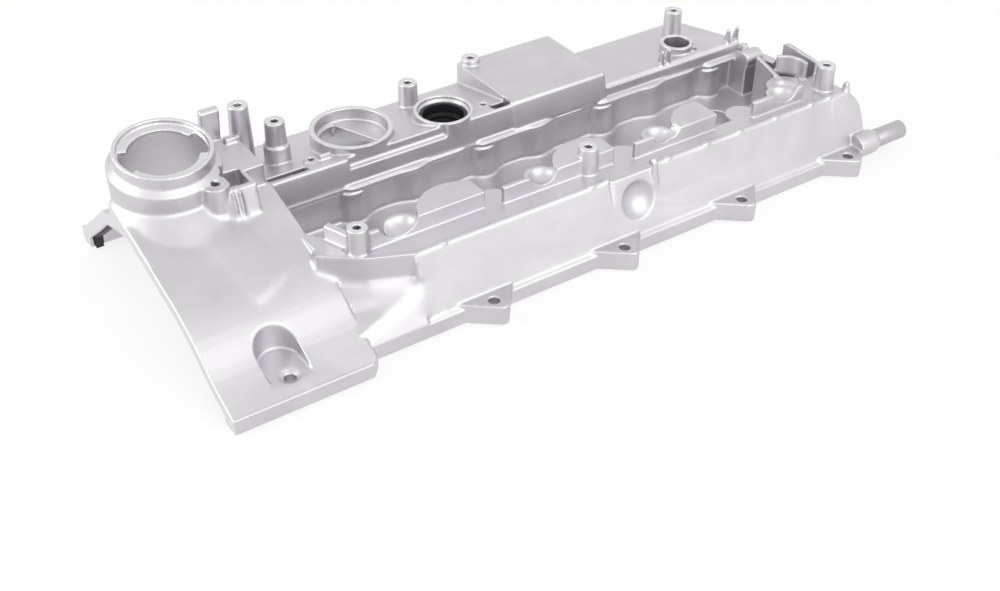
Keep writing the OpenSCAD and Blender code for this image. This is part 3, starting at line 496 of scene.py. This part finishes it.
# %% The insert
low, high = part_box("port_insert")
middle = (low + high) / 2
radius = (high.x - low.x) / 2
lip, cup_depth, ledge, seat_depth = 0.0018, 0.007, 0.0022, 0.0035
insert = cylinder("port_cup", (middle.x, middle.y, low.z), radius, high.z - low.z)
pick(insert, lambda centre, normal: normal.z > 0.9)
bpy.ops.mesh.inset(thickness=lip)
bpy.ops.mesh.extrude_region_move(TRANSFORM_OT_translate={"value": (0, 0, -cup_depth)})
bpy.ops.mesh.inset(thickness=ledge)
bpy.ops.mesh.extrude_region_move(TRANSFORM_OT_translate={"value": (0, 0, -seat_depth)})
rounded(insert, 0.0004)
finished(insert, nylon, "black_plastic", "port_insert")

# %% [markdown]
# ## Breather pipe
# The pipe is drawn aluminium tube, pressed into its boss. Drawing leaves fine lines along it, so
# its pattern is stretched along X. The lines are drawn half a millimetre wide, so that they show.

# %% Drawn aluminium
drawn, tree, shader, place = new_material("drawn_aluminium_tube", Metallic=1)
along = add(tree, "ShaderNodeMapping", {"Vector": place}, {"Scale": (0.02, 1, 1)}).outputs["Vector"]
lines = add(tree, "ShaderNodeTexNoise", {"Vector": along}, {"Scale": MM / 0.5, "Detail": 4})
lines = lines.outputs["Fac"]
drawn_tone = add(tree, "ShaderNodeMix", {0: lines},
                 {6: linear("#B0AEB1"), 7: linear("#C9C7C9")}, data_type="RGBA").outputs[2]
tree.links.new(drawn_tone, shader.inputs["Base Color"])
drawn_gloss = add(tree, "ShaderNodeMapRange", {"Value": lines}, {"To Min": 0.28, "To Max": 0.42})
tree.links.new(drawn_gloss.outputs["Result"], shader.inputs["Roughness"])
relief = add(tree, "ShaderNodeBump", {"Height": lines}, {"Strength": 0.3, "Distance": 0.00002})
tree.links.new(relief.outputs["Normal"], shader.inputs["Normal"])
print(drawn.name, "has", len(tree.nodes), "nodes")

# %% [markdown]
# The pipe begins with its seat in the boss, which is a little thinner than the rest. The seat's
# end face is widened and drawn out to the free end. Then both ends are inset by the wall, and
# bridging them opens the bore.

# %% The pipe
low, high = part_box("breather_pipe")
middle = (low + high) / 2
radius, seat_length, fit, wall = (high.z - low.z) / 2, 0.0175, 0.0002, 0.0015
pipe = cylinder("hose_pipe", (low.x, middle.y, middle.z), radius - fit, seat_length,
                turn=(0, math.pi / 2, 0))
pick(pipe, lambda centre, normal: normal.x > 0.9)
bpy.ops.mesh.extrude_region_move(TRANSFORM_OT_translate={"value": (0, 0, 0)})
wider = radius / (radius - fit)
bpy.ops.transform.resize(value=(1, wider, wider),
                         center_override=(low.x + seat_length, middle.y, middle.z))
free_length = high.x - low.x - seat_length
bpy.ops.mesh.extrude_region_move(TRANSFORM_OT_translate={"value": (free_length, 0, 0)})
ends = (low.x, high.x)
pick(pipe, lambda centre, normal: (abs(normal.x) > 0.9
                                   and min(abs(centre.x - x) for x in ends) < 1e-5))
bpy.ops.mesh.inset(thickness=wall, use_individual=True)
bpy.ops.mesh.bridge_edge_loops()
rounded(pipe, 0.0005)
finished(pipe, drawn, "pipe_aluminium", "breather_pipe")

# %% [markdown]
# ## Oil separator
# Under the crown a zinc-coated sheet closes the oil separator. It is rolled sheet, so it has fine
# lines along its length, drawn at 0.8 mm, and the coating shows its pale crystals, about 5 mm
# across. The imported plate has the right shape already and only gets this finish.

# %% Zinc-coated sheet
zinc, tree, shader, place = new_material("zinc_coated_sheet", Metallic=1)
crystal = add(tree, "ShaderNodeTexVoronoi", {"Vector": place}, {"Scale": MM / 5}).outputs["Color"]
along = add(tree, "ShaderNodeMapping", {"Vector": place}, {"Scale": (0.03, 1, 1)}).outputs["Vector"]
rolled = add(tree, "ShaderNodeTexNoise", {"Vector": along}, {"Scale": MM / 0.8, "Detail": 3})
rolled = rolled.outputs["Fac"]
shine = add(tree, "ShaderNodeSeparateColor", {"Color": crystal}).outputs[0]
zinc_tone = add(tree, "ShaderNodeMix", {0: shine},
                {6: linear("#B4B8BB"), 7: linear("#C6CACC")}, data_type="RGBA").outputs[2]
tree.links.new(zinc_tone, shader.inputs["Base Color"])
zinc_gloss = add(tree, "ShaderNodeMapRange", {"Value": shine}, {"To Min": 0.3, "To Max": 0.42})
tree.links.new(zinc_gloss.outputs["Result"], shader.inputs["Roughness"])
relief = add(tree, "ShaderNodeBump", {"Height": rolled}, {"Strength": 0.3, "Distance": 0.00002})
tree.links.new(relief.outputs["Normal"], shader.inputs["Normal"])
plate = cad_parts["baffle_plate"]
plate.data.materials.clear()
plate.data.materials.append(zinc)
print(zinc.name, "has", len(tree.nodes), "nodes")

# %% [markdown]
# Six screws hold the sheet. They are steel with a thin bright plating, and tumbling them in the
# plating drum leaves dull and bright places, drawn at 1.5 mm so that they show.

# %% Screw steel
steel, tree, shader, place = new_material("zinc_plated_steel", Metallic=1)
wear = add(tree, "ShaderNodeTexNoise", {"Vector": place}, {"Scale": MM / 1.5, "Detail": 4})
wear = wear.outputs["Fac"]
steel_tone = add(tree, "ShaderNodeMix", {0: wear},
                 {6: linear("#9C9EA2"), 7: linear("#B4B6B9")}, data_type="RGBA").outputs[2]
tree.links.new(steel_tone, shader.inputs["Base Color"])
steel_gloss = add(tree, "ShaderNodeMapRange", {"Value": wear}, {"To Min": 0.24, "To Max": 0.4})
tree.links.new(steel_gloss.outputs["Result"], shader.inputs["Roughness"])
relief = add(tree, "ShaderNodeBump", {"Height": wear}, {"Strength": 0.2, "Distance": 0.00002})
tree.links.new(relief.outputs["Normal"], shader.inputs["Normal"])
print(steel.name, "has", len(tree.nodes), "nodes")

# %% [markdown]
# The head is a low cylinder, and the shank is drawn out of its top face. The lower face is inset
# and pushed in, and that ring is drawn to a hexagon for the key. The other five are copies.

# %% The screws
low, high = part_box("baffle_screw_1")
middle = (low + high) / 2
head_radius, head_height, shank_radius = (high.x - low.x) / 2, 0.003, 0.0024
ring_radius, key_radius, socket_depth = 0.002, 0.0019, 0.0018  # the key's from middle to corner
screw = cylinder("plate_screw_1", (middle.x, middle.y, low.z), head_radius, head_height, sides=36)
pick(screw, lambda centre, normal: normal.z > 0.9)
bpy.ops.mesh.inset(thickness=head_radius - shank_radius)
shank_length = high.z - low.z - head_height
bpy.ops.mesh.extrude_region_move(TRANSFORM_OT_translate={"value": (0, 0, shank_length)})
pick(screw, lambda centre, normal: normal.z < -0.9)
bpy.ops.mesh.inset(thickness=head_radius - ring_radius)
bpy.ops.mesh.extrude_region_move(TRANSFORM_OT_translate={"value": (0, 0, socket_depth)})
mesh = bmesh.from_edit_mesh(screw.data)
for v in mesh.verts:
    reach = Vector((v.co.x - middle.x, v.co.y - middle.y))
    if v.co.z < low.z + 0.002 and reach.length < 0.0021:  # the socket's two rings
        off_middle = (math.atan2(reach.y, reach.x) % (math.pi / 3)) - math.pi / 6
        flat = key_radius * math.cos(math.pi / 6) / math.cos(off_middle)
        v.co.xy = Vector((middle.x, middle.y)) + reach.normalized() * flat
bmesh.update_edit_mesh(screw.data)
rounded(screw, 0.0003)
for number in range(2, 7):
    twin = bpy.data.objects.new("plate_screw_%d" % number, screw.data.copy())
    bpy.context.scene.collection.objects.link(twin)
    node = "baffle_screw_%d" % number
    twin.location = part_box(node)[0] - low
    finished(twin, steel, "screw_steel", node)
finished(screw, steel, "screw_steel", "baffle_screw_1")

# %% [markdown]
# ## Floor and light
# The cover stands on a white table. The table and the world are white for the camera and for
# reflections, as in a light tent. The table is only four fifths glow, so that it still takes the
# cover's shadow.

# %% Floor
def white_rays(tree):
    """A value that is 1 for camera, glossy and transmission rays."""
    path = add(tree, "ShaderNodeLightPath").outputs
    either = add(tree, "ShaderNodeMath", {0: path["Is Camera Ray"], 1: path["Is Glossy Ray"]},
                 operation="MAXIMUM").outputs[0]
    return add(tree, "ShaderNodeMath", {0: either, 1: path["Is Transmission Ray"]},
               operation="MAXIMUM").outputs[0]


bpy.ops.object.select_all(action="DESELECT")
gap = 0.0002  # keeps the sealing face and the table apart
bpy.ops.mesh.primitive_plane_add(size=30, location=(0, 0, cad_box[0][2] - gap))
floor = bpy.context.object
floor.name = "white_table"
white = bpy.data.materials.new("white_table")
white.use_nodes = True
tree = white.node_tree
tree.nodes.clear()
share = add(tree, "ShaderNodeMath", {0: white_rays(tree)}, {1: 0.8}, operation="MULTIPLY")
matt = add(tree, "ShaderNodeBsdfDiffuse", None, {"Color": linear("#F4F4F4")})
glow = add(tree, "ShaderNodeEmission", None, {"Color": (1, 1, 1, 1), "Strength": 1})
both = add(tree, "ShaderNodeMixShader",
           {0: share.outputs[0], 1: matt.outputs[0], 2: glow.outputs[0]})
add(tree, "ShaderNodeOutputMaterial", {"Surface": both.outputs[0]})
floor.data.materials.append(white)
print("floor at", round(MM * floor.location.z, 2), "mm")

# %% [markdown]
# The world casts a little less light than it shows, so that the cover keeps its shading before a
# pure white ground.

# %% World
world = bpy.data.worlds.new("light_tent")
bpy.context.scene.world = world
world.use_nodes = True
tree = world.node_tree
tree.nodes.clear()
soft = add(tree, "ShaderNodeBackground", None, {"Color": (1, 1, 1, 1), "Strength": 0.8})
bright = add(tree, "ShaderNodeBackground", None, {"Color": (1, 1, 1, 1), "Strength": 1})
both = add(tree, "ShaderNodeMixShader",
           {0: white_rays(tree), 1: soft.outputs[0], 2: bright.outputs[0]})
add(tree, "ShaderNodeOutputWorld", {"Surface": both.outputs[0]})
print("world has", len(tree.nodes), "nodes")

# %% [markdown]
# The lamps model the shapes: a wide one from the front and above, and a smaller one from the
# timing end. Both are large for their distance, so their shadows are soft.

# %% Lamps
cover_middle = Vector((-0.05, 0, 0.03))


def lamp(name, place, size, power):
    """A square area lamp that looks at the middle of the cover."""
    data = bpy.data.lights.new(name, "AREA")
    data.shape = "SQUARE"
    data.size, data.energy = size, power
    light = bpy.data.objects.new(name, data)
    bpy.context.scene.collection.objects.link(light)
    light.location = place
    light.rotation_mode = "QUATERNION"
    aim = cover_middle - light.location
    light.rotation_quaternion = aim.to_track_quat("-Z", "Y")
    print(name, "is", round(light.location.length, 2), "m away")


lamp("wide_lamp", (0.1, -1.25, 0.9), 1.9, 13)
lamp("end_lamp", (-1.3, 0.35, 0.5), 1.0, 8)
bpy.context.scene.view_settings.view_transform = "Standard"
